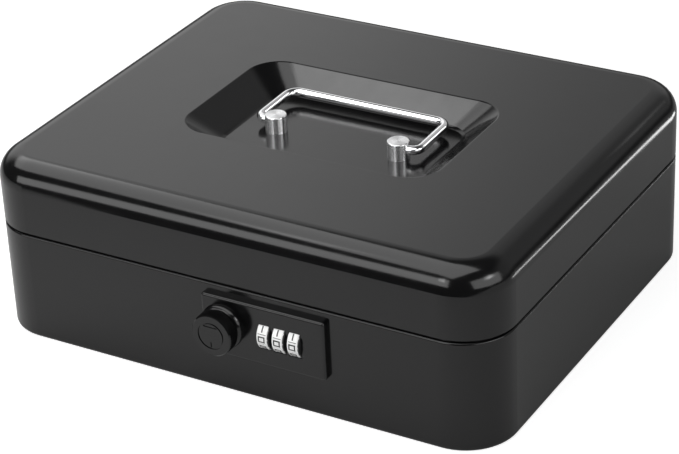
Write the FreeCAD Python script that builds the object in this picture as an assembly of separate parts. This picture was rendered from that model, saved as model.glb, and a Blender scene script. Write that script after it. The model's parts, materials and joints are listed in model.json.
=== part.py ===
import FreeCAD, Part
import math
import os

# Cash box with a carry handle in its lid and a three-wheel combination lock.
# Millimetres. +X right, front at -Y, +Z up. The origin is the centre of the base.

V = FreeCAD.Vector

# Case and lid sheet metal
case_width = 250.0
case_depth = 206.0
case_height = 85.0
corner_radius = 23.5
sheet = 1.0
base_edge_radius = 2.0
lid_edge_radius = 11.5
lid_height = 32.0
seam_gap = 1.0
lid_rim_radius = 0.45
body_rim_radius = 0.9
lip_rise = 6.0
lip_gap = 0.6

# Carry recess pressed into the lid
recess_length = 127.2
recess_width = 80.0
recess_depth = 11.0
recess_side_run = 10.0
recess_end_run = 14.0
recess_rim_corner = 15.0
recess_floor_corner = 11.0
recess_rim_radius = 1.0
recess_floor_radius = 3.0

# Handle
wire_diameter = 4.1
post_diameter = 10.0
post_height = 8.1
post_spacing = 62.6
post_edge_radius = 0.5
pivot_y = -5.1
pivot_drop = 3.5
wire_entry = 6.5
bail_reach = 30.0
bail_rest_angle = 0.8
bail_side_gap = 0.4
pivot_bend_radius = 4.0
grip_bend_radius = 6.0
stud_diameter = 5.0
stud_tail = 0.5
post_washer_diameter = 11.0
post_washer_thickness = 1.0
post_nut_flats = 8.0
post_nut_height = 4.0

# Rear hinges
hinge_length = 40.0
hinge_end_margin = 6.5
hinge_middle_length = 18.0
hinge_top_margin = 3.0
hinge_leaf_thickness = 1.2
hinge_pin_diameter = 3.0
knuckle_gap = 0.4
hinge_notch_margin = 0.8

# Lock faceplate
plate_height = 28.0
plate_thickness = 3.0
plate_knob_margin = 10.0
plate_wheel_margin = 14.5
plate_drop = 18.0
plate_corner_radius = 1.5
plate_edge_radius = 1.2
boss_diameter = 6.0
boss_length = 4.0
boss_wall = 0.8

# Number wheels
wheel_radius = 7.5
wheel_pitch = 7.4
wheel_count = 3
wheel_depth = 2.2
wheel_side_room = 2.0
ring_width = 5.0
ring_wall = 1.55
ring_edge = 0.3
digit_count = 10
groove_width = 0.35
groove_depth = 0.2
flange_width = 0.6
flange_inset = 0.4
detent_radius = 0.5
wheel_play = 0.3
collar_width = 1.4

# Code rod that slides through the wheels
rod_diameter = 4.0
rod_tip_length = 1.5
rod_tip_diameter = 1.6
rod_tail_diameter = 2.4
fin_thickness = 1.2
fin_width = 1.6
fin_height = 1.2
fin_play = 0.4
follower_gap = 0.5
rod_spring_length = 4.6
rod_spring_wall = 0.5

# Knob, spindle and cams
knob_x = 0.0
knob_diameter = 19.8
knob_thickness = 5.5
knob_gap = 1.1
knob_teeth = 54
knob_tooth_depth = 0.4
knob_edge = 0.7
knob_ring_diameter = 12.8
knob_groove_width = 0.7
knob_groove_depth = 0.4
knob_bar_length = 6.6
knob_bar_rise = 4.3
knob_tick_length = 2.6
neck_diameter = 14.0
neck_play = 0.3
collar_diameter = 20.7
collar_height = 2.4
collar_round = 2.2
spindle_diameter = 8.0
spindle_seat = 3.0
tail_side = 5.0
thread_diameter = 4.4
snail_base_radius = 5.0
snail_thickness = 1.8
snail_dwell_angle = 12.0
snail_fall_angle = 75.0
snail_points = 10
latch_turn = 90.0
latch_thickness = 2.0
latch_pin_play = 0.4
latch_hook_thickness = 2.1
latch_tip_angle = 35.0
latch_web_angle = -55.0
latch_web_sweep = 25.0
latch_gap = 0.5
latch_side_gap = 1.0
cam_washer_diameter = 9.0
cam_washer_thickness = 0.6
cam_nut_flats = 8.0
cam_nut_height = 2.5

# Lock case, cover, springs and lever
lock_inset = 1.0
lock_end_wall = 2.6
shelf_thickness = 6.0
wheel_back_room = 5.3
cheek = 2.0
wheel_box_margin = 1.0
cover_thickness = 1.0
screw_diameter = 2.4
screw_head_diameter = 5.0
screw_head_height = 1.6
screw_depth = 5.0
detent_strip = 0.5
detent_foot = 2.6
lever_offset = -1.4
lever_drop = 4.5
lever_length = 8.0
lever_height = 5.0
lever_thickness = 1.5
lever_keeper = 1.0
lever_shank = 4.0
lever_shank_height = 2.4
lever_tab = 2.0
lever_tab_width = 1.6
lever_travel = 3.0
lever_play = 0.2

# Striker on the lid
striker_width = 20.0
striker_drop_width = 12.0
striker_thickness = 1.2
striker_flange = 12.0
striker_pin_diameter = 3.0
striker_pin_radius = 9.2
striker_head_diameter = 5.0
striker_head_height = 1.2
striker_lip_clearance = 0.8
striker_end = 2.7
striker_gap = 1.0

# Coin tray and the ledges that carry it
tray_side_gap = 3.4
tray_lock_gap = 5.3
tray_headroom = 11.5
tray_depth = 28.0
tray_wall = 2.0
tray_corner = 14.0
tray_columns = 3
tray_rows = 2
pocket_corner = 5.0
pocket_round = 4.0
finger_radius = 11.0
ledge_length = 120.0
ledge_width = 14.0
ledge_height = 10.0
ledge_thickness = 1.2
ledge_y = 10.0

# Fits
running_fit = 0.05
hole_play = 0.2
overcut = 1.0

# Planes and axes that several pieces share
wall_front = -case_depth / 2
wall_inside = wall_front + sheet
plate_front = wall_front - plate_thickness
lid_bottom = case_height - lid_height
seam_height = lid_bottom - seam_gap
lip_inset = sheet + lip_gap
mouth_inset = lip_inset + sheet
recess_floor = case_height - recess_depth
pivot_z = recess_floor + post_height - pivot_drop
wire_radius = wire_diameter / 2
bail_spacing = post_spacing + post_diameter + 2 * (bail_side_gap + pivot_bend_radius)
stud_end = recess_floor - sheet - post_washer_thickness - post_nut_height - stud_tail
barrel_radius = hinge_pin_diameter / 2 + running_fit + hinge_leaf_thickness
hinge_y = case_depth / 2 - sheet - hinge_leaf_thickness + barrel_radius
hinge_z = seam_height + seam_gap / 2
hinge_leaf_height = case_height - lid_edge_radius - hinge_top_margin - hinge_z
hinge_spacing = case_width - 2 * (corner_radius + hinge_end_margin) - hinge_length
lock_z = seam_height - plate_drop
rod_radius = rod_diameter / 2
rod_travel = collar_width + fin_thickness + 2 * fin_play
snail_top_radius = snail_base_radius + rod_travel
snail_room = snail_top_radius + follower_gap
spindle_radius = spindle_diameter / 2
latch_hub_radius = striker_pin_radius - striker_pin_diameter / 2 - latch_pin_play
latch_hook_inner = striker_pin_radius + striker_pin_diameter / 2 + latch_pin_play
latch_hook_outer = latch_hook_inner + latch_hook_thickness
wheel_box_left = knob_x + latch_hook_outer + latch_side_gap
wheel_room_left = wheel_box_left + cheek
wheel_y = wall_front + wheel_depth
wheel_places = [
    wheel_room_left + wheel_side_room + ring_width / 2 + i * wheel_pitch for i in range(wheel_count)
]
wheel_room_right = wheel_places[-1] + ring_width / 2 + flange_width + wheel_play
rod_shoulder = wheel_room_right + cheek
plate_left = knob_x - plate_knob_margin
plate_right = wheel_places[-1] + plate_wheel_margin
lock_left = knob_x - snail_room - lock_end_wall
lock_right = plate_right - lock_inset
lock_height = plate_height - 2 * lock_inset
shelf_back = wall_inside + shelf_thickness
wheel_box_back = wheel_y + wheel_radius + wheel_back_room
cover_back = wheel_box_back + cover_thickness
latch_front = shelf_back + latch_gap
latch_back = latch_front + latch_thickness
knob_standoff = collar_height + knob_gap
striker_drop_y = latch_back + striker_gap
striker_drop_back = striker_drop_y + striker_thickness
lever_x = wheel_places[len(wheel_places) // 2] + lever_offset
tray_length = case_width - 2 * (mouth_inset + tray_side_gap)
tray_back = case_depth / 2 - mouth_inset - tray_side_gap
tray_front = cover_back + lever_play + lever_thickness + lever_tab + tray_lock_gap
tray_top = stud_end - tray_headroom
tray_floor = tray_top - tray_depth
boss_room = boss_diameter / 2 + hole_play + boss_wall
left_boss_x = wheel_box_left - boss_room
right_boss_x = lock_right - boss_room
boss_places = [
    (x, lock_z + side * (lock_height / 2 - boss_room))
    for x in (left_boss_x, right_boss_x)
    for side in (-1, 1)
]


# Plain solids and outlines

def block(x0, x1, y0, y1, z0, z1):
    return Part.makeBox(x1 - x0, y1 - y0, z1 - z0, V(x0, y0, z0))


def rod_along_x(radius, y, z, x0, x1):
    return Part.makeCylinder(radius, x1 - x0, V(x0, y, z), V(1, 0, 0))


def rod_along_y(radius, x, z, y0, y1):
    return Part.makeCylinder(radius, y1 - y0, V(x, y0, z), V(0, 1, 0))


def rod_along_z(radius, x, y, z0, z1):
    return Part.makeCylinder(radius, z1 - z0, V(x, y, z0))


def line(a, b):
    return Part.LineSegment(a, b).toShape()


def arc(a, middle, b):
    return Part.Arc(a, middle, b).toShape()


def rounded_outline(width, depth, radius, z):
    """A rectangle with round corners, centred on the Z axis."""
    x = width / 2
    y = depth / 2
    edges = []
    for turn in range(4):
        along, across = (x, y) if turn % 2 == 0 else (y, x)
        centre = V(along - radius, across - radius, z)
        middle = centre + V(radius, radius, 0) * math.sqrt(0.5)
        corner = arc(V(along, across - radius, z), middle, V(along - radius, across, z))
        side = line(V(along - radius, across, z), V(radius - along, across, z))
        for edge in (corner, side):
            edge.rotate(V(0, 0, 0), V(0, 0, 1), 90 * turn)
            edges.append(edge)
    return Part.Wire(edges)


def rounded_prism(width, depth, radius, z0, z1):
    face = Part.Face(rounded_outline(width, depth, radius, z0))
    return face.extrude(V(0, 0, z1 - z0))


def tapered_prism(top, bottom):
    return Part.makeLoft([bottom, top], True, True)


def hexagon(flats, x, y, z0, z1):
    reach = flats / math.sqrt(3)
    angles = [math.radians(60 * i) for i in range(7)]
    points = [V(x + reach * math.cos(a), y + reach * math.sin(a), z0) for a in angles]
    return Part.Face(Part.makePolygon(points)).extrude(V(0, 0, z1 - z0))


def stood_on_front(shape, x, y_back, z):
    """Turns a shape drawn flat so that its plan faces the front and its underside is at y_back."""
    shape.rotate(V(0, 0, 0), V(1, 0, 0), 90)
    shape.translate(V(x, y_back, z))
    return shape


def edges_at(shape, z):
    found = []
    for edge in shape.Edges:
        ends = [v.Z for v in edge.Vertexes]
        ends.append(edge.valueAt((edge.FirstParameter + edge.LastParameter) / 2).z)
        if all(abs(height - z) < 1e-4 for height in ends):
            found.append(edge)
    return found


def rounded_at(shape, z, radius):
    return shape.makeFillet(radius, edges_at(shape, z))


def mirrored(shape):
    return shape.mirror(V(0, 0, 0), V(1, 0, 0))


# Case

def hinge_notches(z0, z1, depth_in):
    half = hinge_length / 2 + hinge_notch_margin
    cuts = []
    for side in (-1, 1):
        x = side * hinge_spacing / 2
        back = case_depth / 2
        cuts.append(block(x - half, x + half, back - depth_in, back + overcut, z0, z1))
    return cuts


def lock_openings():
    """Holes in the front wall, all behind the faceplate."""
    y0 = wall_front - overcut
    y1 = wall_inside + overcut
    slot = rod_radius + hole_play
    high = wheel_radius + wheel_play + hole_play
    ends = (wheel_places[0], wheel_places[-1] + flange_width)
    half = ring_width / 2 + wheel_play + hole_play
    cuts = [rod_along_y(spindle_radius + hole_play, knob_x, lock_z, y0, y1)]
    cuts.append(block(knob_x, rod_shoulder + rod_spring_length, y0, y1, lock_z - slot, lock_z + slot))
    cuts.append(block(ends[0] - half, ends[1] + half, y0, y1, lock_z - high, lock_z + high))
    for x, z in boss_places:
        cuts.append(rod_along_y(boss_diameter / 2 + hole_play, x, z, y0, y1))
    return cuts


def body_shell():
    lip_top = seam_height + lip_rise
    outer = rounded_prism(case_width, case_depth, corner_radius, 0, seam_height)
    outer = rounded_at(outer, 0, base_edge_radius)
    outer = rounded_at(outer, seam_height, body_rim_radius)
    lip = rounded_prism(
        case_width - 2 * lip_inset,
        case_depth - 2 * lip_inset,
        corner_radius - lip_inset,
        seam_height - sheet,
        lip_top,
    )
    hollow = rounded_prism(
        case_width - 2 * sheet,
        case_depth - 2 * sheet,
        corner_radius - sheet,
        sheet,
        seam_height - sheet,
    )
    hollow = rounded_at(hollow, sheet, base_edge_radius)
    mouth = rounded_prism(
        case_width - 2 * mouth_inset,
        case_depth - 2 * mouth_inset,
        corner_radius - mouth_inset,
        seam_height - 2 * sheet,
        lip_top + overcut,
    )
    notch_floor = hinge_z - barrel_radius - hinge_notch_margin
    notches = hinge_notches(notch_floor, lip_top + overcut, mouth_inset + overcut)
    return outer.fuse(lip).cut([hollow, mouth] + notches + lock_openings())


def tray_ledge():
    x = case_width / 2 - sheet
    y0 = ledge_y - ledge_length / 2
    y1 = ledge_y + ledge_length / 2
    flange = block(-x, ledge_thickness - x, y0, y1, tray_floor - ledge_height, tray_floor)
    shelf = block(-x, ledge_width - x, y0, y1, tray_floor - ledge_thickness, tray_floor)
    return flange.fuse(shelf).removeSplitter()


# Lid

def through_wall(run):
    """How far the sheet's thickness reaches sideways through a recess wall of that run."""
    return sheet * math.hypot(run, recess_depth) / recess_depth


def recess_outline(z, end_grow=0.0, side_grow=0.0):
    """The recess's outline at a height, grown at its ends and sides for the underside of the sheet."""
    share = (case_height - z) / recess_depth
    corner = recess_rim_corner + (recess_floor_corner - recess_rim_corner) * share
    return rounded_outline(
        recess_length + 2 * (end_grow - recess_end_run * share),
        recess_width + 2 * (side_grow - recess_side_run * share),
        corner + side_grow,
        z,
    )


def lid_shell():
    outer = rounded_prism(case_width, case_depth, corner_radius, lid_bottom, case_height)
    outer = rounded_at(outer, case_height, lid_edge_radius)
    outer = rounded_at(outer, lid_bottom, lid_rim_radius)
    hollow = rounded_prism(
        case_width - 2 * sheet,
        case_depth - 2 * sheet,
        corner_radius - sheet,
        lid_bottom - overcut,
        case_height - sheet,
    )
    hollow = rounded_at(hollow, case_height - sheet, lid_edge_radius - sheet)
    pocket = tapered_prism(recess_outline(case_height), recess_outline(recess_floor))
    pocket = rounded_at(pocket, recess_floor, recess_floor_radius)
    under = recess_floor - sheet
    grow = (through_wall(recess_end_run), through_wall(recess_side_run))
    skin = tapered_prism(recess_outline(case_height, *grow), recess_outline(under, *grow))
    skin = rounded_at(skin, under, recess_floor_radius + sheet)
    lid = outer.cut(hollow).fuse(skin).cut(pocket).removeSplitter()
    rim = [
        edge
        for edge in edges_at(lid, case_height)
        if abs(edge.CenterOfMass.x) < recess_length / 2 + overcut
        and abs(edge.CenterOfMass.y) < recess_width / 2 + overcut
    ]
    lid = lid.makeFillet(recess_rim_radius, rim)
    cuts = hinge_notches(lid_bottom - overcut, hinge_z + barrel_radius + hinge_notch_margin, sheet)
    for side in (-1, 1):
        hole = stud_diameter / 2 + hole_play
        x = side * post_spacing / 2
        cuts.append(rod_along_z(hole, x, pivot_y, under - overcut, recess_floor + overcut))
    return lid.cut(cuts)


def handle_post():
    """The left post, with its stud below and the pivot hole in its outer side."""
    x = -post_spacing / 2
    radius = post_diameter / 2
    top = recess_floor + post_height
    post = rounded_at(rod_along_z(radius, x, pivot_y, recess_floor, top), top, post_edge_radius)
    stud = rod_along_z(stud_diameter / 2, x, pivot_y, stud_end, recess_floor)
    outside = x - radius
    hole = rod_along_x(
        wire_radius + running_fit,
        pivot_y,
        pivot_z,
        outside - overcut,
        outside + wire_entry + hole_play,
    )
    return post.fuse(stud).cut(hole)


def post_washers():
    top = recess_floor - sheet
    rings = []
    for side in (-1, 1):
        x = side * post_spacing / 2
        disc = rod_along_z(post_washer_diameter / 2, x, pivot_y, top - post_washer_thickness, top)
        bore = rod_along_z(stud_diameter / 2 + hole_play, x, pivot_y, stud_end, top + overcut)
        rings.append(disc.cut(bore))
    return Part.makeCompound(rings)


def post_nuts():
    top = recess_floor - sheet - post_washer_thickness
    nuts = []
    for side in (-1, 1):
        x = side * post_spacing / 2
        body = hexagon(post_nut_flats, x, pivot_y, top - post_nut_height, top)
        bore = rod_along_z(
            stud_diameter / 2 + running_fit, x, pivot_y, top - post_nut_height - overcut, top + overcut
        )
        nuts.append(body.cut(bore))
    return Part.makeCompound(nuts)


def handle_bail():
    """One bent wire, drawn flat from the left pivot to the right one, then turned to its rest angle."""
    end = post_spacing / 2 + post_diameter / 2 - wire_entry
    side = bail_spacing / 2
    near = pivot_bend_radius
    far = grip_bend_radius
    far_in = far * (1 - math.sqrt(0.5))
    near_in = near * (1 - math.sqrt(0.5))
    left = [
        line(V(-end, 0, 0), V(near - side, 0, 0)),
        arc(V(near - side, 0, 0), V(near_in - side, near_in, 0), V(-side, near, 0)),
        line(V(-side, near, 0), V(-side, bail_reach - far, 0)),
        arc(
            V(-side, bail_reach - far, 0),
            V(far_in - side, bail_reach - far_in, 0),
            V(far - side, bail_reach, 0),
        ),
    ]
    grip = line(V(far - side, bail_reach, 0), V(side - far, bail_reach, 0))
    right = [mirrored(edge) for edge in reversed(left)]
    path = Part.Wire(left + [grip] + right)
    section = Part.Wire(Part.makeCircle(wire_radius, V(-end, 0, 0), V(1, 0, 0)))
    bail = path.makePipeShell([section], True, False)
    bail.rotate(V(0, 0, 0), V(1, 0, 0), bail_rest_angle)
    bail.translate(V(0, pivot_y, pivot_z))
    return bail


def striker_bracket():
    """A bent strip welded inside the lid's front wall, hanging down behind the latch."""
    half = striker_width / 2
    half_drop = striker_drop_width / 2
    shelf_z = seam_height + lip_rise + striker_lip_clearance
    flange_top = shelf_z + striker_flange
    flange = block(-half, half, wall_inside, wall_inside + striker_thickness, shelf_z, flange_top)
    shelf = block(-half, half, wall_inside, striker_drop_back, shelf_z, shelf_z + striker_thickness)
    pin_z = lock_z + striker_pin_radius
    low = pin_z - striker_end
    drop = block(-half_drop, half_drop, striker_drop_y, striker_drop_back, low, shelf_z + striker_thickness)
    bracket = flange.fuse([shelf, drop]).removeSplitter()
    bracket.translate(V(knob_x, 0, 0))
    bore = striker_pin_diameter / 2 + running_fit
    hole = rod_along_y(bore, knob_x, pin_z, striker_drop_y - overcut, striker_drop_back + overcut)
    return bracket.cut(hole)


def striker_pin():
    pin_z = lock_z + striker_pin_radius
    front = latch_front
    shank = rod_along_y(striker_pin_diameter / 2, knob_x, pin_z, front, striker_drop_back)
    head = rod_along_y(
        striker_head_diameter / 2, knob_x, pin_z, striker_drop_back, striker_drop_back + striker_head_height
    )
    return shank.fuse(head)


# Hinges

def knuckle(x0, x1):
    return rod_along_x(barrel_radius, hinge_y, hinge_z, x0, x1)


def hinge_leaf(side, upward):
    """One leaf: the lid's has the middle knuckle and stands up, the case's has the two outer ones."""
    centre = side * hinge_spacing / 2
    half = hinge_length / 2
    middle = hinge_middle_length / 2
    y1 = case_depth / 2 - sheet
    y0 = y1 - hinge_leaf_thickness
    back_off = barrel_radius + hinge_notch_margin
    if upward:
        spans = [(-middle, middle)]
        z0 = hinge_z + back_off
        z1 = hinge_z + hinge_leaf_height
        root = (hinge_z, z0)
    else:
        spans = [(-half, -middle - knuckle_gap), (middle + knuckle_gap, half)]
        z0 = hinge_z - hinge_leaf_height
        z1 = hinge_z - back_off
        root = (z1, hinge_z)
    solids = [block(centre - half, centre + half, y0, y1, z0, z1)]
    for a, b in spans:
        solids.append(knuckle(centre + a, centre + b))
        solids.append(block(centre + a, centre + b, y0, y1, root[0], root[1]))
    bore = rod_along_x(
        hinge_pin_diameter / 2 + running_fit,
        hinge_y,
        hinge_z,
        centre - half - overcut,
        centre + half + overcut,
    )
    return solids[0].fuse(solids[1:]).cut(bore).removeSplitter()


def hinge_pin(side):
    centre = side * hinge_spacing / 2
    half = hinge_length / 2
    return rod_along_x(hinge_pin_diameter / 2, hinge_y, hinge_z, centre - half, centre + half)


# Lock front

def lock_faceplate():
    width = plate_right - plate_left
    flat = rounded_prism(width, plate_height, plate_corner_radius, 0, plate_thickness)
    flat = rounded_at(flat, plate_thickness, plate_edge_radius)
    plate = stood_on_front(flat, plate_left + width / 2, wall_front, lock_z)
    bosses = [
        rod_along_y(boss_diameter / 2, x, z, wall_front, wall_front + boss_length)
        for x, z in boss_places
    ]
    boss_end = wall_front + boss_length
    cuts = [
        rod_along_y(screw_diameter / 2 + running_fit, x, z, boss_end - screw_depth - hole_play, boss_end)
        for x, z in boss_places
    ]
    cuts.append(
        rod_along_y(
            spindle_radius + running_fit, knob_x, lock_z, plate_front - overcut, wall_front + overcut
        )
    )
    half = ring_width / 2 + wheel_play
    for x in wheel_places:
        window = rod_along_x(
            wheel_radius + wheel_play, wheel_y, lock_z, x - half, x + half + flange_width
        )
        cuts.append(window)
    return plate.fuse(bosses).cut(cuts)


def knob_collar():
    disc = rod_along_z(collar_diameter / 2, 0, 0, 0, collar_height)
    disc = rounded_at(disc, collar_height, collar_round)
    bore = rod_along_z(neck_diameter / 2 + neck_play, 0, 0, -overcut, collar_height + overcut)
    return stood_on_front(disc.cut(bore), knob_x, plate_front, lock_z)


# Knob and what turns with it

def knob_cap():
    """A serrated cap on a plain neck, with a ring, a bar and a tick sunk in its face."""
    outer = knob_diameter / 2
    points = []
    for i in range(2 * knob_teeth + 1):
        radius = outer - knob_tooth_depth * (i % 2)
        angle = math.pi * i / knob_teeth
        points.append(V(radius * math.cos(angle), radius * math.sin(angle), knob_standoff))
    cap = Part.Face(Part.makePolygon(points)).extrude(V(0, 0, knob_thickness))
    top = knob_standoff + knob_thickness
    taper = Part.makeCone(
        outer + overcut, outer - knob_edge, knob_edge + overcut, V(0, 0, top - knob_edge - overcut)
    )
    low = rod_along_z(outer + overcut, 0, 0, knob_standoff, top - knob_edge - overcut)
    cap = cap.common(low.fuse(taper))
    bottom = top - knob_groove_depth
    above = top + overcut
    ring_outer = knob_ring_diameter / 2
    ring_inner = ring_outer - knob_groove_width
    ring = rod_along_z(ring_outer, 0, 0, bottom, above).cut(rod_along_z(ring_inner, 0, 0, 0, above))
    half = knob_groove_width / 2
    long = knob_bar_length / 2
    bar = block(-long, long, knob_bar_rise - half, knob_bar_rise + half, bottom, above)
    tick = block(-half, half, -ring_inner, knob_tick_length - ring_inner, bottom, above)
    neck = rod_along_z(neck_diameter / 2, 0, 0, neck_play, knob_standoff)
    seat = rod_along_z(spindle_radius + running_fit, 0, 0, 0, knob_standoff + spindle_seat)
    knob = cap.fuse(neck).cut([ring, bar, tick, seat])
    return stood_on_front(knob, knob_x, plate_front, lock_z)


def knob_spindle():
    front = plate_front - knob_standoff - spindle_seat
    shaft = rod_along_y(spindle_radius, knob_x, lock_z, front, latch_front)
    half = tail_side / 2
    tail = block(knob_x - half, knob_x + half, latch_front, latch_back, lock_z - half, lock_z + half)
    end = latch_back + cam_washer_thickness + cam_nut_height + stud_tail
    thread = rod_along_y(thread_diameter / 2, knob_x, lock_z, latch_back, end)
    return shaft.fuse([tail, thread])


def polar(radius, degrees):
    angle = math.radians(degrees)
    return V(radius * math.cos(angle), radius * math.sin(angle), 0)


def snail_cam():
    """A cam whose radius grows evenly with the angle, so the rod moves in step with the knob."""
    spiral_points = []
    for i in range(snail_points):
        share = i / (snail_points - 1)
        radius = snail_base_radius + rod_travel * share
        spiral_points.append(polar(radius, latch_turn * (share - 1)))
    spiral = Part.BSplineCurve()
    spiral.interpolate(spiral_points)
    top = snail_top_radius
    base = snail_base_radius
    back_middle = (snail_fall_angle + 360 - latch_turn) / 2
    edges = [
        spiral.toShape(),
        arc(polar(top, 0), polar(top, snail_dwell_angle / 2), polar(top, snail_dwell_angle)),
        line(polar(top, snail_dwell_angle), polar(base, snail_fall_angle)),
        arc(polar(base, snail_fall_angle), polar(base, back_middle), polar(base, -latch_turn)),
    ]
    disc = Part.Face(Part.Wire(edges)).extrude(V(0, 0, snail_thickness))
    bore = rod_along_z(spindle_radius + running_fit, 0, 0, -overcut, snail_thickness + overcut)
    back = wheel_y + snail_thickness / 2
    return stood_on_front(disc.cut(bore), knob_x, back, lock_z)


def sector(radius, start, sweep, thickness):
    return Part.makeCylinder(radius, thickness, V(0, 0, 0), V(0, 0, 1), sweep).rotate(
        V(0, 0, 0), V(0, 0, 1), start
    )


def latch_cam():
    """A hub with a hook that swings over the lid's striker pin when the knob is turned."""
    sweep = latch_tip_angle - latch_web_angle
    hub = rod_along_z(latch_hub_radius, 0, 0, 0, latch_thickness)
    hook = sector(latch_hook_outer, latch_web_angle, sweep, latch_thickness)
    hook = hook.cut(rod_along_z(latch_hook_inner, 0, 0, -overcut, latch_thickness + overcut))
    web = sector(latch_hook_outer, latch_web_angle, latch_web_sweep, latch_thickness)
    half = tail_side / 2 + running_fit
    hole = block(-half, half, -half, half, -overcut, latch_thickness + overcut)
    cam = hub.fuse([hook, web]).cut(hole).removeSplitter()
    return stood_on_front(cam, knob_x, latch_back, lock_z)


def cam_washer():
    disc = rod_along_z(cam_washer_diameter / 2, 0, 0, 0, cam_washer_thickness)
    bore = rod_along_z(thread_diameter / 2 + hole_play, 0, 0, -overcut, cam_washer_thickness + overcut)
    return stood_on_front(disc.cut(bore), knob_x, latch_back + cam_washer_thickness, lock_z)


def cam_nut():
    body = hexagon(cam_nut_flats, 0, 0, 0, cam_nut_height)
    bore = rod_along_z(thread_diameter / 2 + running_fit, 0, 0, -overcut, cam_nut_height + overcut)
    back = latch_back + cam_washer_thickness + cam_nut_height
    return stood_on_front(body.cut(bore), knob_x, back, lock_z)


# Number wheels and the code rod

def around_wheel(shape, step):
    """A copy turned about the wheels' axis by a number of digit steps."""
    copy = shape.copy()
    copy.rotate(V(0, wheel_y, lock_z), V(1, 0, 0), 360 / digit_count * step)
    return copy


def number_ring(x):
    half = ring_width / 2
    ring = rod_along_x(wheel_radius, wheel_y, lock_z, x - half, x + half)
    rims = [edge for edge in ring.Edges if edge.isClosed()]
    ring = ring.makeChamfer(ring_edge, rims)
    bore = rod_along_x(wheel_radius - ring_wall, wheel_y, lock_z, x - half - overcut, x + half + overcut)
    groove = block(
        x - half - overcut,
        x + half + overcut,
        wheel_y - wheel_radius - overcut,
        wheel_y - wheel_radius + groove_depth,
        lock_z - groove_width / 2,
        lock_z + groove_width / 2,
    )
    grooves = [around_wheel(groove, i + 0.5) for i in range(digit_count)]
    return ring.cut([bore] + grooves)


def wheel_hub(x):
    """The core of a wheel: detent flange on its right, and inside a collar with one keyway."""
    half = ring_width / 2
    left = x - half
    right = x + half + flange_width
    core = rod_along_x(wheel_radius - ring_wall - running_fit, wheel_y, lock_z, left, right)
    rim = wheel_radius - flange_inset
    flange = rod_along_x(rim, wheel_y, lock_z, x + half, right)
    notch = rod_along_x(detent_radius, wheel_y + rim, lock_z, x + half - overcut, right + overcut)
    notch = notch.common(block(x + half, right + overcut, wheel_y, wheel_y + rim * 2, 0, case_height))
    notches = [around_wheel(notch, i) for i in range(digit_count)]
    chamber_radius = rod_radius + fin_height + hole_play
    middle = (left + right) / 2
    chambers = [
        rod_along_x(chamber_radius, wheel_y, lock_z, left - overcut, middle - collar_width / 2),
        rod_along_x(chamber_radius, wheel_y, lock_z, middle + collar_width / 2, right + overcut),
    ]
    bore = rod_along_x(rod_radius + running_fit, wheel_y, lock_z, left - overcut, right + overcut)
    keyway = fin_width / 2 + hole_play
    key = block(left, right, wheel_y, wheel_y + chamber_radius, lock_z - keyway, lock_z + keyway)
    return core.fuse(flange).cut(notches + chambers + [bore, key])


def code_rod():
    """The rod that the snail cam moves, with one fin for each wheel's keyway."""
    tip = knob_x + snail_room
    tail = rod_shoulder + rod_spring_length
    body = rod_along_x(rod_radius, wheel_y, lock_z, tip + rod_tip_length, rod_shoulder)
    nose = Part.makeCone(
        rod_tip_diameter / 2, rod_radius, rod_tip_length, V(tip, wheel_y, lock_z), V(1, 0, 0)
    )
    pin = rod_along_x(rod_tail_diameter / 2, wheel_y, lock_z, rod_shoulder, tail)
    fins = []
    for x in wheel_places:
        start = x + flange_width / 2 + collar_width / 2 + fin_play
        fins.append(
            block(
                start,
                start + fin_thickness,
                wheel_y,
                wheel_y + rod_radius + fin_height,
                lock_z - fin_width / 2,
                lock_z + fin_width / 2,
            )
        )
    return body.fuse([nose, pin] + fins).removeSplitter()


def rod_spring():
    """The return spring as a sleeve of its outer and inner size."""
    inner = rod_tail_diameter / 2 + running_fit
    end = rod_shoulder + rod_spring_length
    coil = rod_along_x(inner + rod_spring_wall, wheel_y, lock_z, rod_shoulder, end)
    bore = rod_along_x(inner, wheel_y, lock_z, rod_shoulder - overcut, end + overcut)
    return coil.cut(bore)


# Lock case and its cover

def lock_case():
    z0 = lock_z - lock_height / 2
    z1 = lock_z + lock_height / 2
    shelf = block(lock_left, wheel_box_left, wall_inside, shelf_back, z0, z1)
    box = block(wheel_box_left, lock_right, wall_inside, wheel_box_back, z0, z1)
    half_room = wheel_radius + wheel_box_margin
    spring_room = rod_tail_diameter / 2 + running_fit + rod_spring_wall + hole_play
    spring_end = rod_shoulder + rod_spring_length
    room_back = wheel_box_back + overcut
    snail_back = wheel_y + snail_thickness / 2 + wheel_play
    front = wall_inside - overcut
    cuts = [
        block(wheel_room_left, wheel_room_right, front, room_back, lock_z - half_room, lock_z + half_room),
        rod_along_x(rod_radius + running_fit, wheel_y, lock_z, knob_x, rod_shoulder),
        rod_along_x(spring_room, wheel_y, lock_z, rod_shoulder, spring_end),
        rod_along_y(spindle_radius + running_fit, knob_x, lock_z, front, shelf_back + overcut),
        rod_along_y(snail_room, knob_x, lock_z, front, snail_back),
    ]
    boss_end = wall_front + boss_length
    for x, z in boss_places:
        cuts.append(rod_along_y(boss_diameter / 2 + hole_play, x, z, front, boss_end))
        cuts.append(rod_along_y(screw_diameter / 2 + hole_play, x, z, front, room_back))
        if x == left_boss_x:
            cuts.append(countersink(x, z, running_fit))
    return shelf.fuse(box).cut(cuts)


def countersink(x, z, grow):
    """A sunk screw head, flush with the back of the lock case's shelf."""
    return Part.makeCone(
        screw_diameter / 2 + grow,
        screw_head_diameter / 2 + grow,
        screw_head_height,
        V(x, shelf_back - screw_head_height, z),
        V(0, 1, 0),
    )


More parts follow.
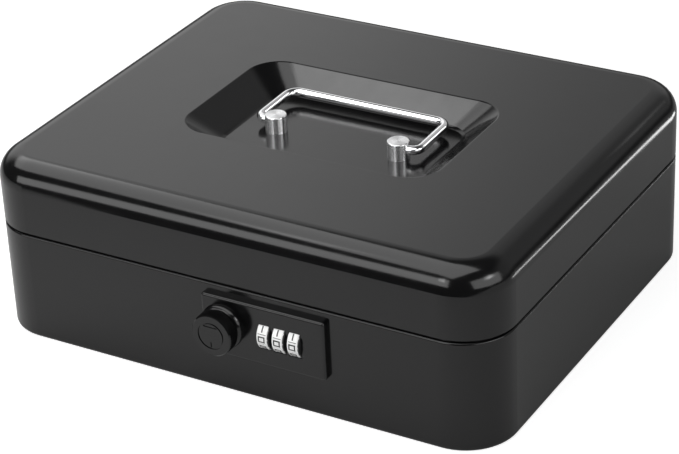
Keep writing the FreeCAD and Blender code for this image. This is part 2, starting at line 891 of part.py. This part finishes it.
def lock_screws():
    boss_end = wall_front + boss_length
    screws = []
    for x, z in boss_places:
        if x == left_boss_x:
            shank_end = shelf_back - screw_head_height
            head = countersink(x, z, 0)
        else:
            shank_end = cover_back
            head = rod_along_y(screw_head_diameter / 2, x, z, cover_back, cover_back + screw_head_height)
        shank = rod_along_y(screw_diameter / 2, x, z, boss_end - screw_depth, shank_end)
        screws.append(shank.fuse(head))
    return Part.makeCompound(screws)


def lock_back_cover():
    z0 = lock_z - lock_height / 2
    z1 = lock_z + lock_height / 2
    plate = block(wheel_box_left, lock_right, wheel_box_back, cover_back, z0, z1)
    cuts = [
        rod_along_y(screw_diameter / 2 + hole_play, x, z, wheel_box_back - overcut, cover_back + overcut)
        for x, z in boss_places
        if x == right_boss_x
    ]
    z = lock_z - lever_drop
    half = lever_shank / 2 + lever_play
    high = lever_shank_height / 2 + lever_play
    cuts.append(
        block(
            lever_x - half,
            lever_x + half + lever_travel,
            wheel_box_back - overcut,
            cover_back + overcut,
            z - high,
            z + high,
        )
    )
    return plate.cut(cuts)


def detent_spring():
    """A leaf on the cover's inner face, with one finger against each wheel's notched flange."""
    top = lock_z + wheel_radius + wheel_box_margin - hole_play
    left = wheel_places[0] + ring_width / 2
    right = wheel_places[-1] + ring_width / 2 + flange_width
    foot = block(left, right, wheel_box_back - detent_strip, wheel_box_back, top - detent_foot, top)
    tip_y = wheel_y + wheel_radius
    root_z = top - detent_foot
    finger = detent_strip * 2
    fingers = []
    for x in wheel_places:
        start = x + ring_width / 2
        points = [
            V(start, wheel_box_back, root_z),
            V(start, wheel_box_back, root_z + finger),
            V(start, tip_y, lock_z + finger),
            V(start, tip_y, lock_z),
            V(start, wheel_box_back, root_z),
        ]
        fingers.append(Part.Face(Part.makePolygon(points)).extrude(V(flange_width, 0, 0)))
    return foot.fuse(fingers).removeSplitter()


def code_change_lever():
    z = lock_z - lever_drop
    half = lever_length / 2
    high = lever_height / 2
    shank = lever_shank / 2
    shank_high = lever_shank_height / 2
    outside = cover_back + lever_play
    inside = wheel_box_back - lever_play
    knee = block(lever_x - half, lever_x + half, outside, outside + lever_thickness, z - high, z + high)
    keeper = block(lever_x - half, lever_x + half, inside - lever_keeper, inside, z - high, z + high)
    stem = block(lever_x - shank, lever_x + shank, inside, outside, z - shank_high, z + shank_high)
    tab_front = outside + lever_thickness
    tab_half = lever_tab_width / 2
    tab_back = tab_front + lever_tab
    tab = block(lever_x - tab_half, lever_x + tab_half, tab_front, tab_back, z - high, z + high)
    return knee.fuse([keeper, stem, tab])


# Coin tray

def coin_tray():
    depth = tray_back - tray_front
    centre = (tray_front + tray_back) / 2
    tub = rounded_prism(tray_length, depth, tray_corner, tray_floor, tray_top)
    pocket_length = (tray_length - tray_wall * (tray_columns + 1)) / tray_columns
    pocket_depth = (depth - tray_wall * (tray_rows + 1)) / tray_rows
    cuts = []
    for column in range(tray_columns):
        for row in range(tray_rows):
            pocket = rounded_prism(
                pocket_length, pocket_depth, pocket_corner, tray_floor + tray_wall, tray_top + overcut
            )
            pocket = rounded_at(pocket, tray_floor + tray_wall, pocket_round)
            x = (column - (tray_columns - 1) / 2) * (pocket_length + tray_wall)
            y = (row - (tray_rows - 1) / 2) * (pocket_depth + tray_wall)
            pocket.translate(V(x, y, 0))
            cuts.append(pocket)
    finger_y = pocket_depth / 2 + tray_wall / 2
    for side in (-1, 1):
        edge = side * tray_length / 2
        ends = sorted((edge - side * (tray_wall + hole_play), edge + side * overcut))
        cuts.append(rod_along_x(finger_radius, finger_y, tray_top, ends[0], ends[1]))
    tray = tub.cut(cuts)
    tray.translate(V(0, centre, 0))
    return tray


def build():
    pieces = {
        "body_shell": body_shell(),
        "tray_ledge_left": tray_ledge(),
        "tray_ledge_right": mirrored(tray_ledge()),
        "lid_shell": lid_shell(),
        "handle_post_left": handle_post(),
        "handle_post_right": mirrored(handle_post()),
        "post_washers": post_washers(),
        "post_nuts": post_nuts(),
        "handle_bail": handle_bail(),
        "striker_bracket": striker_bracket(),
        "striker_pin": striker_pin(),
        "lock_faceplate": lock_faceplate(),
        "knob_collar": knob_collar(),
        "knob_cap": knob_cap(),
        "knob_spindle": knob_spindle(),
        "snail_cam": snail_cam(),
        "latch_cam": latch_cam(),
        "cam_washer": cam_washer(),
        "cam_nut": cam_nut(),
        "code_rod": code_rod(),
        "rod_spring": rod_spring(),
        "lock_case": lock_case(),
        "lock_back_cover": lock_back_cover(),
        "lock_screws": lock_screws(),
        "detent_spring": detent_spring(),
        "code_change_lever": code_change_lever(),
        "coin_tray": coin_tray(),
    }
    for side, name in ((-1, "left"), (1, "right")):
        pieces["hinge_body_leaf_" + name] = hinge_leaf(side, False)
        pieces["hinge_lid_leaf_" + name] = hinge_leaf(side, True)
        pieces["hinge_pin_" + name] = hinge_pin(side)
    for number, x in enumerate(wheel_places, 1):
        pieces[f"number_ring_{number}"] = number_ring(x)
        pieces[f"wheel_hub_{number}"] = wheel_hub(x)
    return pieces


os.makedirs("parts", exist_ok=True)
for name, shape in build().items():
    shape.exportStep(f"parts/{name}.step")
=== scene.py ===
import json
import math

import bmesh
import bpy
from mathutils import Matrix, Quaternion, Vector


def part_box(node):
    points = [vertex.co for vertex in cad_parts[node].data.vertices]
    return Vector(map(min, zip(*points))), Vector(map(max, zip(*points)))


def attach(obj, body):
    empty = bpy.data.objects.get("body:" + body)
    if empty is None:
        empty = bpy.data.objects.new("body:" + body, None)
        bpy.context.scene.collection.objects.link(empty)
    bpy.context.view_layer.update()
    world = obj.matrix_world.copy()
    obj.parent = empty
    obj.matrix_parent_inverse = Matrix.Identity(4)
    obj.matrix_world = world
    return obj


# A black steel cash box with a wire handle and a three-wheel combination lock.
# Metres, in the frame's own axes: +X right, front at -Y, +Z up.

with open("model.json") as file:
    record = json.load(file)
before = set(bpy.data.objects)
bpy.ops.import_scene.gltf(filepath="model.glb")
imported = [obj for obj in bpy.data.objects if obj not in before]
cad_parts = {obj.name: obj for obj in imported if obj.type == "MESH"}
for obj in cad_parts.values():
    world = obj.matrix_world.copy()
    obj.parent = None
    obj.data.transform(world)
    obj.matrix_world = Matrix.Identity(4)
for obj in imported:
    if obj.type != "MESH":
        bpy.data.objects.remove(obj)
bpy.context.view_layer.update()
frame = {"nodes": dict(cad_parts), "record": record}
nodes = frame["nodes"]

mm = 0.001

# Camera
camera_place = Vector((0.49791, -0.83362, 0.56056))
camera_azimuth = 31.04
camera_elevation = 28.69
camera_roll = -2.75
camera_lens = 128.95
sensor_width = 36.0
clip_near = 0.01
clip_far = 50

# Studio floor: a white board that ends in front of the box
floor_outline = [(-0.9, -0.95), (-0.15, -0.24), (0.9, -0.24), (0.9, 0.9), (-0.9, 0.9)]
floor_colour = (0.66, 0.66, 0.66, 1)
floor_glow_near = 0.8
floor_glow_far = 1.0
floor_glow_start = 0.25
floor_glow_end = 0.6
floor_glow_reflected = 0.05

# Sky: a pale wall behind the box, brightest at its left and dark at its foot, and a dim room elsewhere
wall_left_level = 1.0
wall_middle_level = 0.42
wall_right_level = 0.26
wall_left_end = -0.52
wall_middle_start = -0.34
wall_middle_end = 0.0
wall_right_start = 0.25
wall_top_start = 0.6
wall_top_end = 0.82
wall_front_start = 0.1
wall_front_end = 0.5
wall_foot_start = 0.02
wall_foot_end = 0.2
room_level = 0.06

# Lamps: the places they are aimed at
left_of_lid_front = (-0.3, -0.1, 0.08)
right_front_corner = (0.1, -0.08, 0.07)
handle_middle = (0, 0.01, 0.08)
recess_back_wall = (0, 0.035, 0.0795)
posts_foot = (0, -0.005, 0.074)

# Patterns: the part of a noise that is stretched over a material's range
pattern_low = 0.3
pattern_high = 0.7

# Number wheels: digits drawn with straight strokes, and a line between each two
digit_strokes = [
    "top bottom left right",
    "stem",
    "top middle bottom upper_right lower_left",
    "top middle bottom right",
    "middle upper_left right",
    "top middle bottom upper_left lower_right",
    "top middle bottom left lower_right",
    "top right",
    "top middle bottom left right",
    "top middle bottom upper_left right",
]
digit_width = 3.3 * mm
digit_height = 2.9 * mm
stroke_width = 0.6 * mm
stroke_slice = 0.15 * mm
digit_rise = 0.012 * mm
line_width = 0.3 * mm
line_sink = 0.19 * mm
line_margin = 0.6 * mm


# Shader helpers

def new_material(name):
    material = bpy.data.materials.new(name)
    material.use_nodes = True
    return material, material.node_tree, material.node_tree.nodes["Principled BSDF"]


def add(tree, kind, **settings):
    node = tree.nodes.new(kind)
    for key, value in settings.items():
        setattr(node, key, value)
    return node


def link(tree, output, target):
    tree.links.new(output, target)


def coordinates(tree, stretch=(1, 1, 1)):
    place = add(tree, "ShaderNodeTexCoord")
    mapping = add(tree, "ShaderNodeMapping")
    mapping.inputs["Scale"].default_value = stretch
    link(tree, place.outputs["Object"], mapping.inputs["Vector"])
    return mapping.outputs["Vector"]


def noise(tree, size, detail=2.0, roughness=0.5, stretch=(1, 1, 1)):
    """Noise whose features are about `size` metres across."""
    texture = add(tree, "ShaderNodeTexNoise")
    texture.inputs["Scale"].default_value = 1 / size
    texture.inputs["Detail"].default_value = detail
    texture.inputs["Roughness"].default_value = roughness
    link(tree, coordinates(tree, stretch), texture.inputs["Vector"])
    return texture.outputs["Fac"]


def spread(tree, value, low, high):
    """Maps a 0 to 1 pattern to a range."""
    ranged = add(tree, "ShaderNodeMapRange")
    ranged.inputs["From Min"].default_value = pattern_low
    ranged.inputs["From Max"].default_value = pattern_high
    ranged.inputs["To Min"].default_value = low
    ranged.inputs["To Max"].default_value = high
    link(tree, value, ranged.inputs["Value"])
    return ranged.outputs["Result"]


def blend_colours(tree, factor, first, second):
    mix = add(tree, "ShaderNodeMix", data_type="RGBA")
    mix.inputs["A"].default_value = (*first, 1)
    mix.inputs["B"].default_value = (*second, 1)
    link(tree, factor, mix.inputs["Factor"])
    return mix.outputs["Result"]


def bump(tree, height, depth, below=None):
    node = add(tree, "ShaderNodeBump")
    node.inputs["Strength"].default_value = 1.0
    node.inputs["Distance"].default_value = depth
    link(tree, height, node.inputs["Height"])
    if below is not None:
        link(tree, below, node.inputs["Normal"])
    return node.outputs["Normal"]


# Materials

def painted_steel(name, dark, light, gloss):
    """Stove paint over sheet steel: faint orange peel, fine grit and uneven gloss."""
    material, tree, shader = new_material(name)
    cloud = noise(tree, size=40 * mm, detail=4.0)
    tone = blend_colours(tree, spread(tree, cloud, 0, 1), dark, light)
    link(tree, tone, shader.inputs["Base Color"])
    smear = noise(tree, size=14 * mm, detail=5.0, roughness=0.6)
    link(tree, spread(tree, smear, *gloss), shader.inputs["Roughness"])
    peel = bump(tree, noise(tree, size=1.6 * mm, detail=1.0), depth=0.0012 * mm)
    grit = bump(tree, noise(tree, size=0.25 * mm), depth=0.0006 * mm, below=peel)
    link(tree, grit, shader.inputs["Normal"])
    shader.inputs["IOR"].default_value = 1.5
    return material


def bright_metal(name, dark, light, gloss, grain):
    """Plated or bare metal whose fine grain is about `grain` metres across."""
    material, tree, shader = new_material(name)
    cloud = noise(tree, size=6 * mm, detail=4.0)
    tone = blend_colours(tree, spread(tree, cloud, 0, 1), dark, light)
    link(tree, tone, shader.inputs["Base Color"])
    lines = noise(tree, size=grain, detail=3.0, roughness=0.6)
    link(tree, spread(tree, lines, *gloss), shader.inputs["Roughness"])
    link(tree, bump(tree, lines, depth=0.0006 * mm), shader.inputs["Normal"])
    shader.inputs["Metallic"].default_value = 1.0
    return material


def moulded_plastic(name, dark, light, gloss, texture_depth):
    """Plastic with a faint mould texture."""
    material, tree, shader = new_material(name)
    cloud = noise(tree, size=9 * mm, detail=3.0)
    tone = blend_colours(tree, spread(tree, cloud, 0, 1), dark, light)
    link(tree, tone, shader.inputs["Base Color"])
    sheen = noise(tree, size=3 * mm, detail=4.0)
    link(tree, spread(tree, sheen, *gloss), shader.inputs["Roughness"])
    texture = noise(tree, size=0.5 * mm)
    link(tree, bump(tree, texture, depth=texture_depth), shader.inputs["Normal"])
    shader.inputs["IOR"].default_value = 1.48
    return material


def turned_chrome(name, dark, light, gloss):
    """Plated posts left from the lathe, whose fine rings draw every highlight out along the axis."""
    material, tree, shader = new_material(name)
    rings = noise(tree, size=1 * mm, stretch=(0.1, 0.1, 6))
    link(tree, spread(tree, rings, *gloss), shader.inputs["Roughness"])
    tone = blend_colours(tree, spread(tree, rings, 0, 1), dark, light)
    link(tree, tone, shader.inputs["Base Color"])
    around = add(tree, "ShaderNodeTangent", direction_type="RADIAL", axis="Z")
    link(tree, around.outputs["Tangent"], shader.inputs["Tangent"])
    quarter_turn = 0.25
    shader.inputs["Anisotropic"].default_value = 1.0
    shader.inputs["Anisotropic Rotation"].default_value = quarter_turn
    shader.inputs["Metallic"].default_value = 1.0
    return material


finishes = {
    "black_paint": painted_steel(
        "black_paint", dark=(0.0026, 0.0026, 0.0028), light=(0.0036, 0.0036, 0.0038), gloss=(0.13, 0.18)
    ),
    "inside_paint": painted_steel(
        "inside_paint", dark=(0.012, 0.012, 0.0125), light=(0.018, 0.018, 0.0185), gloss=(0.3, 0.4)
    ),
    "lock_black": painted_steel(
        "lock_black", dark=(0.0026, 0.0026, 0.0028), light=(0.0036, 0.0036, 0.0038), gloss=(0.13, 0.19)
    ),
    "hinge_steel": painted_steel(
        "hinge_steel", dark=(0.012, 0.012, 0.012), light=(0.02, 0.02, 0.02), gloss=(0.3, 0.42)
    ),
    "chrome": bright_metal(
        "chrome", dark=(0.9, 0.9, 0.91), light=(0.94, 0.94, 0.95), gloss=(0.1, 0.15), grain=3 * mm
    ),
    "steel": bright_metal(
        "steel", dark=(0.5, 0.5, 0.51), light=(0.6, 0.6, 0.61), gloss=(0.25, 0.4), grain=1.5 * mm
    ),
    "spring_steel": bright_metal(
        "spring_steel", dark=(0.42, 0.42, 0.44), light=(0.5, 0.5, 0.52), gloss=(0.2, 0.32), grain=1 * mm
    ),
    "zinc": bright_metal(
        "zinc", dark=(0.46, 0.46, 0.47), light=(0.56, 0.56, 0.57), gloss=(0.38, 0.52), grain=0.8 * mm
    ),
    "brass": bright_metal(
        "brass", dark=(0.66, 0.48, 0.2), light=(0.74, 0.56, 0.26), gloss=(0.2, 0.34), grain=1 * mm
    ),
    "wheel_white": moulded_plastic(
        "wheel_white",
        dark=(0.93, 0.93, 0.92),
        light=(0.96, 0.96, 0.95),
        gloss=(0.22, 0.32),
        texture_depth=0.001 * mm,
    ),
    "wheel_black": moulded_plastic(
        "wheel_black",
        dark=(0.012, 0.012, 0.012),
        light=(0.018, 0.018, 0.018),
        gloss=(0.4, 0.52),
        texture_depth=0.004 * mm,
    ),
    "tray_black": moulded_plastic(
        "tray_black",
        dark=(0.014, 0.014, 0.015),
        light=(0.02, 0.02, 0.021),
        gloss=(0.42, 0.56),
        texture_depth=0.012 * mm,
    ),
}
post_finish = turned_chrome(
    "turned_chrome", dark=(0.88, 0.88, 0.89), light=(0.92, 0.92, 0.93), gloss=(0.23, 0.26)
)


def dress_nodes():
    for row in frame["record"]["subparts"]:
        mesh = nodes[row["node"]].data
        mesh.materials.clear()
        finish = finishes[row["material_slot"]]
        if row["node"].startswith("handle_post"):
            finish = post_finish
        mesh.materials.append(finish)


# Digits printed on the wheels

def digit_ink(dark, light, gloss):
    material, tree, shader = new_material("digit_ink")
    cloud = noise(tree, size=0.6 * mm, detail=3.0)
    tone = blend_colours(tree, spread(tree, cloud, 0, 1), dark, light)
    link(tree, tone, shader.inputs["Base Color"])
    link(tree, spread(tree, cloud, *gloss), shader.inputs["Roughness"])
    link(tree, bump(tree, cloud, depth=0.002 * mm), shader.inputs["Normal"])
    return material


def strip(shape, left, right, low, high):
    """A flat strip in XY, cut into thin slices so that it can be bent round a wheel."""
    slices = math.ceil((high - low) / stroke_slice)
    levels = [low + (high - low) * i / slices for i in range(slices + 1)]
    rows = [(shape.verts.new((left, y, 0)), shape.verts.new((right, y, 0))) for y in levels]
    for below, above in zip(rows, rows[1:]):
        shape.faces.new((below[0], below[1], above[1], above[0]))


def flat_digit(strokes):
    """A digit as flat strokes that meet without overlapping, centred on the origin."""
    shape = bmesh.new()
    thin = stroke_width / 2
    side = digit_width / 2 - thin
    rise = digit_height / 2 - thin
    across = {"top": rise, "middle": 0, "bottom": -rise}
    upright = {
        "left": (-side, -rise, rise),
        "right": (side, -rise, rise),
        "stem": (0, -rise, rise),
        "upper_left": (-side, 0, rise),
        "upper_right": (side, 0, rise),
        "lower_left": (-side, -rise, 0),
        "lower_right": (side, -rise, 0),
    }
    for name in strokes.split():
        if name in across:
            y = across[name]
            strip(shape, thin - side, side - thin, y - thin, y + thin)
        else:
            x, low, high = upright[name]
            strip(shape, x - thin, x + thin, low - thin, high + thin)
    return shape


def flat_line(length):
    """The line between two digits, as a flat strip across the ring."""
    shape = bmesh.new()
    strip(shape, -length / 2, length / 2, -line_width / 2, line_width / 2)
    return shape


def wrap(shape, joined, centre, reach, radius, turned):
    """Bends a flat shape round the wheel's axis and adds it to the wheel's print."""
    for v in shape.verts:
        angle = v.co.y / radius + turned
        v.co = centre + Vector((v.co.x, -reach * math.cos(angle), reach * math.sin(angle)))
    part = bpy.data.meshes.new("part")
    shape.to_mesh(part)
    shape.free()
    joined.from_mesh(part)
    bpy.data.meshes.remove(part)


def wheel_digits(number, ink):
    """The ten digits of one wheel and the lines between them, with 0 at the front."""
    low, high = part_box(f"number_ring_{number}")
    centre = (low + high) / 2
    radius = (high.z - low.z) / 2
    joined = bmesh.new()
    step = 2 * math.pi / len(digit_strokes)
    for digit, strokes in enumerate(digit_strokes):
        wrap(flat_digit(strokes), joined, centre, radius + digit_rise, radius, step * digit)
        line = flat_line(high.x - low.x - 2 * line_margin)
        wrap(line, joined, centre, radius - line_sink, radius, step * (digit + 0.5))
    mesh = bpy.data.meshes.new(f"wheel_digits_{number}")
    joined.to_mesh(mesh)
    joined.free()
    mesh.materials.append(ink)
    piece = bpy.data.objects.new(f"wheel_digits_{number}", mesh)
    bpy.context.scene.collection.objects.link(piece)
    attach(piece, f"wheel_{number}")


# Studio floor and sky

def ramp(tree, value, start, end, low, high):
    """A smooth step from `low` at `start` to `high` at `end`."""
    step = add(tree, "ShaderNodeMapRange", interpolation_type="SMOOTHSTEP")
    step.inputs["From Min"].default_value = start
    step.inputs["From Max"].default_value = end
    step.inputs["To Min"].default_value = low
    step.inputs["To Max"].default_value = high
    link(tree, value, step.inputs["Value"])
    return step.outputs["Result"]


def calculate(tree, operation, first, second):
    """Combines two shader values."""
    node = add(tree, "ShaderNodeMath", operation=operation)
    link(tree, first, node.inputs[0])
    link(tree, second, node.inputs[1])
    return node.outputs[0]


def build_floor():
    """White to the camera, with the box's soft shadow left in it, and an ordinary white board to the box."""
    mesh = bpy.data.meshes.new("floor")
    corners = [(x, y, 0) for x, y in floor_outline]
    mesh.from_pydata(corners, [], [tuple(range(len(corners)))])
    floor = bpy.data.objects.new("floor", mesh)
    bpy.context.scene.collection.objects.link(floor)
    material = bpy.data.materials.new("floor_white")
    material.use_nodes = True
    tree = material.node_tree
    tree.nodes.clear()
    diffuse = add(tree, "ShaderNodeBsdfDiffuse")
    diffuse.inputs["Color"].default_value = floor_colour
    place = add(tree, "ShaderNodeTexCoord")
    reach = add(tree, "ShaderNodeVectorMath", operation="LENGTH")
    link(tree, place.outputs["Object"], reach.inputs[0])
    glow_seen = ramp(
        tree, reach.outputs["Value"], floor_glow_start, floor_glow_end, floor_glow_near, floor_glow_far
    )
    path = add(tree, "ShaderNodeLightPath")
    seen = calculate(tree, "MULTIPLY", path.outputs["Is Camera Ray"], glow_seen)
    mirrored = calculate(tree, "MAXIMUM", path.outputs["Is Glossy Ray"], path.outputs["Is Transmission Ray"])
    reflected = ramp(tree, mirrored, 0, 1, 0, floor_glow_reflected)
    glow = add(tree, "ShaderNodeEmission")
    link(tree, calculate(tree, "ADD", seen, reflected), glow.inputs["Strength"])
    both = add(tree, "ShaderNodeAddShader")
    link(tree, diffuse.outputs[0], both.inputs[0])
    link(tree, glow.outputs[0], both.inputs[1])
    out = add(tree, "ShaderNodeOutputMaterial")
    link(tree, both.outputs[0], out.inputs["Surface"])
    mesh.materials.append(material)


def build_sky():
    world = bpy.data.worlds.new("studio")
    bpy.context.scene.world = world
    world.use_nodes = True
    tree = world.node_tree
    background = tree.nodes["Background"]
    direction = add(tree, "ShaderNodeTexCoord")
    split = add(tree, "ShaderNodeSeparateXYZ")
    link(tree, direction.outputs["Generated"], split.inputs[0])
    across = split.outputs["X"]
    depth = split.outputs["Y"]
    height = split.outputs["Z"]
    left_extra = wall_left_level - wall_middle_level
    left = ramp(tree, across, wall_left_end, wall_middle_start, left_extra, 0)
    middle = ramp(tree, across, wall_middle_end, wall_right_start, wall_middle_level, wall_right_level)
    behind = ramp(tree, depth, wall_front_start, wall_front_end, 0, 1)
    above_foot = ramp(tree, height, wall_foot_start, wall_foot_end, 0, 1)
    below_top = ramp(tree, height, wall_top_start, wall_top_end, 1, 0)
    side = calculate(tree, "MULTIPLY", calculate(tree, "ADD", left, middle), behind)
    wall = calculate(tree, "MULTIPLY", side, calculate(tree, "MULTIPLY", above_foot, below_top))
    lifted = add(tree, "ShaderNodeMath", operation="ADD")
    lifted.inputs[1].default_value = room_level
    link(tree, wall, lifted.inputs[0])
    path = add(tree, "ShaderNodeLightPath")
    mix = add(tree, "ShaderNodeMix")
    mix.inputs["B"].default_value = 1.0
    link(tree, path.outputs["Is Camera Ray"], mix.inputs["Factor"])
    link(tree, lifted.outputs[0], mix.inputs["A"])
    background.inputs["Color"].default_value = (1, 1, 1, 1)
    link(tree, mix.outputs["Result"], background.inputs["Strength"])


# Lamps

def softbox(name, place, aim, size, level, turn=0, beam=180):
    """A rectangular lamp as bright as a surface of that level, unseen by the camera.

    The turn and the beam are in degrees.
    """
    width, height = size
    half_beam = math.radians(beam) / 2
    beam_share = 1 - half_beam / math.tan(half_beam)
    data = bpy.data.lights.new(name, "AREA")
    data.shape = "RECTANGLE"
    data.size = width
    data.size_y = height
    data.spread = math.radians(beam)
    data.energy = level * math.pi * width * height * beam_share
    lamp = bpy.data.objects.new(name, data)
    lamp.location = place
    lamp.rotation_mode = "QUATERNION"
    facing = (Vector(aim) - Vector(place)).to_track_quat("-Z", "Y")
    lamp.rotation_quaternion = facing @ Quaternion((0, 0, 1), math.radians(turn))
    lamp.visible_camera = False
    bpy.context.scene.collection.objects.link(lamp)


def build_soft_lamps():
    """Large soft lamps above, in front at the left and at the right."""
    softbox(
        "top_softbox", place=(-0.12, -0.11, 0.3),
        aim=(-0.12, -0.11, 0), size=(0.6, 0.27), level=2.2, turn=-20,
    )
    softbox("front_softbox", place=(-0.3, -0.6, 0.27), aim=left_of_lid_front, size=(0.75, 0.27), level=2.7)
    softbox("side_softbox", place=(0.75, -0.25, 0.32), aim=right_front_corner, size=(0.8, 0.45), level=1.9)


def build_beams():
    """Narrow beams on the handle, the recess's back wall and the posts."""
    softbox(
        "handle_softbox", place=(0.14, 0.2, 0.2), aim=handle_middle, size=(0.12, 0.12), level=4.0, beam=22
    )
    softbox(
        "recess_beam", place=(-0.224, -0.218, 0.448),
        aim=recess_back_wall, size=(0.22, 0.1), level=3.8, beam=24,
    )
    softbox(
        "post_beam_front", place=(-0.054, -0.31, 0.2445),
        aim=posts_foot, size=(0.2, 0.12), level=10.0, beam=26,
    )
    softbox(
        "post_beam_right", place=(0.308, -0.032, 0.2445),
        aim=posts_foot, size=(0.28, 0.12), level=10.0, beam=26,
    )


def build_edge_strip():
    """A low strip facing up, behind the box at its right, for the bright line on the lid's right edge."""
    softbox(
        "edge_strip", place=(0.262, 0.215, 0.002),
        aim=(0.262, 0.215, 1), size=(0.24, 0.06), level=7.0, turn=52,
    )


# Camera placing

def build_camera():
    azimuth = math.radians(camera_azimuth)
    elevation = math.radians(camera_elevation)
    roll = math.radians(camera_roll)
    level = math.cos(elevation)
    back = Vector((math.sin(azimuth) * level, -math.cos(azimuth) * level, math.sin(elevation)))
    right = Vector((math.cos(azimuth), math.sin(azimuth), 0))
    up = back.cross(right)
    rolled_right = right * math.cos(roll) + up * math.sin(roll)
    rolled_up = up * math.cos(roll) - right * math.sin(roll)
    data = bpy.data.cameras.new("camera")
    data.sensor_width = sensor_width
    data.lens = camera_lens
    data.clip_start = clip_near
    data.clip_end = clip_far
    camera = bpy.data.objects.new("camera", data)
    turn = Matrix((rolled_right, rolled_up, back)).transposed()
    camera.matrix_world = Matrix.Translation(camera_place) @ turn.to_4x4()
    bpy.context.scene.collection.objects.link(camera)
    bpy.context.scene.camera = camera


dress_nodes()
ink = digit_ink(dark=(0.012, 0.012, 0.012), light=(0.03, 0.03, 0.03), gloss=(0.45, 0.6))
for wheel in (1, 2, 3):
    wheel_digits(wheel, ink)
build_floor()
build_sky()
build_soft_lamps()
build_beams()
build_edge_strip()
build_camera()
bpy.context.scene.view_settings.view_transform = "Standard"
